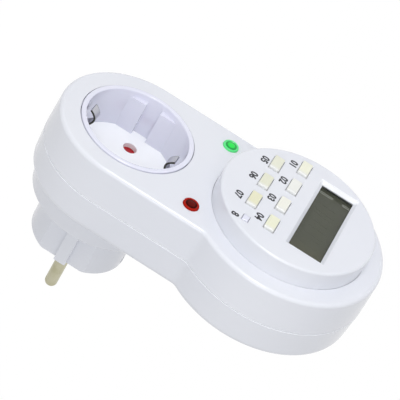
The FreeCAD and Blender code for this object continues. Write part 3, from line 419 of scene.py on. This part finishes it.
def lensProfile(faceY, backY):
    shape = lensShape
    rimRadius, roll = shape["rimRadius"], shape["rollRadius"]
    rim = [(rimRadius - roll * (1 - math.cos(a)), -(shape["rimRise"] - roll * (1 - math.sin(a))))
           for a in np.linspace(0, np.pi / 2, shape["rollSteps"])]
    inner, drop = rimRadius - roll, shape["grooveRise"] - shape["rimRise"]
    slope = [(inner + (shape["grooveRadius"] - inner) * t,
              -(shape["rimRise"] + drop * (0.5 - 0.5 * math.cos(math.pi * t))))
             for t in np.linspace(0, 1, shape["slopeSteps"])[1:]]
    rise = shape["domeRise"] - shape["grooveRise"]
    dome = [(shape["grooveRadius"] * math.cos(a), -(shape["grooveRise"] + rise * math.sin(a)))
            for a in np.linspace(shape["domeStart"], np.pi / 2 * shape["domeEnd"], shape["domeSteps"])]
    skin = [(radius * mm, faceY + depth * mm) for radius, depth in rim + slope + dome]
    flangeRadius, seatY = shape["flangeRadius"] * mm, backY - shape["flangeThick"] * mm
    back = [(shape["backRadius"] * mm, backY), (flangeRadius, backY), (flangeRadius, seatY),
            (rimRadius * mm, seatY)]
    return back + skin


def makeLens(name):
    low, high = map(np.array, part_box(name))
    middle = (low + high) / 2
    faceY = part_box("front_housing")[0][1]
    piece = turned(name + "_cap", lensProfile(faceY, high[1]), middle)
    piece.data.materials.append(lensPlastic(name, middle))
    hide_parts(name)
    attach(piece, "housing")


# Printed marks lie on a face that looks along -Y
ink = {"colour": (0.035, 0.036, 0.042), "thick": 0.03 * mm, "rough": 0.5, "grain": 3000.0, "grainShare": 0.4,
       "grainLift": 1.6, "grainRough": 0.1, "gloss": 0.3}


def inkCoat(name, colour, rough):
    maker = Maker(name)
    grain = maker.noise(ink["grain"])
    pale = tuple(part * ink["grainLift"] for part in colour)
    return maker.set(Base_Color=maker.mix(grain * ink["grainShare"], colour, pale),
                     Roughness=grain * ink["grainRough"] + rough, Specular_IOR_Level=ink["gloss"])


# Numerals, each one centred below its key, given in millimetres from the head's middle
numerals = {
    "size": 3.9, "stretch": 0.95, "bold": 0.14, "resolution": 6,
    "places": {"01": (-20.9, -10.3), "02": (-9.4, -10.3), "03": (2.8, -10.6), "04": (15.8, -10.7),
               "05": (-14.0, -19.7), "06": (-2.5, -20.1), "07": (11.1, -20.8), "8": (21.7, -18.2)},
}


def makeNumerals(coat, headZ, dialY):
    for text, (x, z) in numerals["places"].items():
        curve = bpy.data.curves.new("numeral", "FONT")
        curve.body = text
        curve.align_x, curve.align_y = "CENTER", "CENTER"
        curve.size = numerals["size"] * mm
        curve.extrude = ink["thick"] / 2
        curve.resolution_u = numerals["resolution"]
        curve.offset = numerals["bold"] * mm
        holder = bpy.data.objects.new("numeral", curve)
        bpy.context.collection.objects.link(holder)
        bpy.context.view_layer.update()
        mesh = bpy.data.meshes.new_from_object(holder)
        bpy.data.objects.remove(holder)
        stand = Matrix.Rotation(math.pi / 2, 4, "X")
        spot = Matrix.Translation((x * mm, dialY - ink["thick"] / 2, headZ + z * mm))
        mesh.transform(spot @ stand @ Matrix.Scale(numerals["stretch"], 4, (1, 0, 0)))
        piece = bpy.data.objects.new("numeral_" + text, mesh)
        bpy.context.collection.objects.link(piece)
        mesh.materials.clear()
        mesh.materials.append(coat)
        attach(piece, "housing")


# Flat marks: outlines in X and Z, given a small thickness
def flatMarks(name, outlines, frontY, backY):
    points, faces = [], []
    for outline in outlines:
        start, count = len(points), len(outline)
        points += [(x, frontY, z) for x, z in outline] + [(x, backY, z) for x, z in outline]
        faces += [tuple(range(start, start + count)),
                  tuple(range(start + 2 * count - 1, start + count - 1, -1))]
        faces += [(start + i, start + count + i, start + count + (i + 1) % count, start + (i + 1) % count)
                  for i in range(count)]
    return addMesh(name, np.array(points), faces, False)


# Seven-segment digits: each segment is a bar with pointed ends, listed by its middle and its direction
digits = {"width": 4.2, "height": 7.6, "bar": 0.75, "gap": 0.12, "lean": 0.1, "rise": -0.6,
          "starts": (-13.6, -7.4, 0.6, 6.8), "colon": (-1.55, 1.5), "dot": 0.4, "dotSides": 16,
          "colour": (0.050, 0.054, 0.033), "rough": 0.2}


def segment(x, z, length, upright):
    half, bar = length / 2 - digits["gap"], digits["bar"] / 2
    shape = [(-half, 0), (-half + bar, -bar), (half - bar, -bar),
             (half, 0), (half - bar, bar), (-half + bar, bar)]
    return [(x + b, z + a) if upright else (x + a, z + b) for a, b in shape]


def digitOutlines():
    width, height = digits["width"], digits["height"]
    outlines = []
    for start in digits["starts"]:
        outlines += [segment(start + width / 2, level, width, False)
                     for level in (-height / 2, 0, height / 2)]
        outlines += [segment(x, z, height / 2, True) for x in (start, start + width)
                     for z in (-height / 4, height / 4)]
    turn = np.linspace(0, 2 * np.pi, digits["dotSides"], endpoint=False)
    middle, gap = digits["colon"]
    outlines += [[(middle + digits["dot"] * math.cos(a), z + digits["dot"] * math.sin(a)) for a in turn]
                 for z in (-gap, gap)]
    return [[(x + z * digits["lean"], z) for x, z in outline] for outline in outlines]


# Marks at the display's end: two pale rules with a dark stretch between them
displayRules = {"x": (-20.0, -19.2), "width": 0.3, "runs": ((-6.2, -0.6), (3.2, 6.2)), "thick": 0.02,
                "colour": (0.30, 0.31, 0.27), "rough": 0.4}


def anticlockwise(outline):  # seen from the front, so that the faces look along -Y
    area = sum(outline[i - 1][0] * point[1] - point[0] * outline[i - 1][1] for i, point in enumerate(outline))
    return outline if area > 0 else outline[::-1]


def makeDisplayMarks(displayZ, cellY):
    rules = displayRules
    pale = [[(x, low), (x + rules["width"], low), (x + rules["width"], high), (x, high)]
            for x in rules["x"] for low, high in rules["runs"]]
    sets = {"display_rules": (pale, 0, inkCoat("pale_print", rules["colour"], rules["rough"])),
            "display_segments": (digitOutlines(), digits["rise"],
                                 inkCoat("segment_print", digits["colour"], digits["rough"]))}
    for name, (outlines, rise, coat) in sets.items():
        shapes = [[(x * mm, displayZ + (z + rise) * mm) for x, z in anticlockwise(outline)]
                  for outline in outlines]
        piece = flatMarks(name, shapes, cellY - rules["thick"] * mm, cellY)
        piece.data.materials.append(coat)
        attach(piece, "housing")


# Floor, backdrop and lights: lamps shine by what they give a white face that looks straight at them
stage = {"drop": 45 * mm, "reach": 6.0, "ambient": 0.58, "tint": (0.985, 0.99, 1.0), "white": (1.0, 1.0, 1.0),
         "share": 0.9, "strength": 1.05, "paint": (0.9, 0.9, 0.9), "grain": 3.0, "grainRough": 0.1,
         "rough": 0.85}
lamps = {
    "key": {"at": (0.36, -1.25, 0.05), "size": 0.35, "level": 0.365},
    "side": {"at": (1.20, -0.45, 0.15), "size": 0.90, "level": 0.24},
}


# the share of the white seen by the camera, in reflections and through clear pieces
def seenWhite(maker, share):
    path = maker.node("ShaderNodeLightPath").socket.node.outputs
    rays = [Value(maker, path[name]) for name in ("Is Camera Ray", "Is Glossy Ray", "Is Transmission Ray")]
    return (rays[0] + rays[1] + rays[2]) * share


def makeFloor(height):
    reach = stage["reach"]
    corners = np.array([(-reach, -reach, 0), (reach, -reach, 0), (reach, reach, 0), (-reach, reach, 0)])
    floor = addMesh("floor", corners + (0, 0, height), [(0, 1, 2, 3)], False)
    floor.visible_shadow = False
    maker = Maker("floor_paint")
    maker.set(Base_Color=stage["paint"],
              Roughness=maker.noise(stage["grain"]) * stage["grainRough"] + stage["rough"])
    glow = maker.node("ShaderNodeEmission", None, {"Color": stage["white"], "Strength": stage["strength"]})
    paint = Value(maker, maker.shader.outputs[0])
    blend = maker.node("ShaderNodeMixShader", None, {0: seenWhite(maker, stage["share"]), 1: paint, 2: glow})
    maker.feed(maker.tree.nodes["Material Output"].inputs["Surface"], blend)
    floor.data.materials.append(maker.material)


class WorldMaker(Maker):
    def __init__(self, world):
        world.use_nodes = True
        self.tree = world.node_tree


def makeWorld():
    world = bpy.data.worlds.new("studio")
    bpy.context.scene.world = world
    maker = WorldMaker(world)
    around = maker.node("ShaderNodeBackground", None, {"Color": stage["tint"], "Strength": stage["ambient"]})
    white = maker.node("ShaderNodeBackground", None, {"Color": stage["white"], "Strength": 1.0})
    blend = maker.node("ShaderNodeMixShader", None, {0: seenWhite(maker, 1.0), 1: around, 2: white})
    maker.feed(maker.tree.nodes["World Output"].inputs["Surface"], blend)


def makeLamps(middle):
    for name, lamp in lamps.items():
        data = bpy.data.lights.new(name, "AREA")
        distance = (Vector(lamp["at"]) - Vector(middle)).length
        data.shape, data.size = "DISK", lamp["size"]
        data.energy = lamp["level"] * (math.pi * distance) ** 2
        light = bpy.data.objects.new(name, data)
        bpy.context.collection.objects.link(light)
        light.location = lamp["at"]
        light.rotation_euler = (Vector(middle) - Vector(lamp["at"])).to_track_quat("-Z", "Y").to_euler()
        light.visible_camera = False


def dressNodes():
    makers = {**{name: plastic for name in plastics}, **{name: metal for name in metals},
              "circuit_board": boardCoat, "display_glass": displayGlass, "clear_window": clearWindow}
    looks = {part["node"]: part["material_slot"] for part in frame["record"]["subparts"]}
    looks["socket_floor"] = "floor_plastic"  # painted light: a paler, lit copy of the well's wall plastic, which has the same slot
    made = {}
    for name, piece in nodes.items():
        look = looks[name]
        if name in keyTints:
            coat = keyPlastic(name)
        elif name == "control_cover":
            coat = coverPlastic("white_plastic")
        elif name == "socket_earth_clip":
            coat = stripMetal("spring_steel")
        elif look in makers:
            if look not in made:
                made[look] = makers[look](look)
            coat = made[look]
        else:
            continue
        piece.data.materials.clear()
        piece.data.materials.append(coat)


def main():
    scene = bpy.context.scene
    scene.view_settings.view_transform = "Standard"
    makeCamera()
    dressNodes()
    print("finishes done")
    for name in lensLooks:
        makeLens(name)
    coverLow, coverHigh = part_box("control_cover")
    headZ = (coverLow[2] + coverHigh[2]) / 2
    makeNumerals(inkCoat("label_ink", ink["colour"], ink["rough"]), headZ, coverLow[1])
    cellLow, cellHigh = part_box("display_cell")
    makeDisplayMarks((cellLow[2] + cellHigh[2]) / 2, cellLow[1])
    print("numerals and display done")
    low, high = map(np.array, cadBox)
    makeFloor(low[2] - stage["drop"])
    makeWorld()
    makeLamps((low + high) / 2)
    print("stage done")


main()
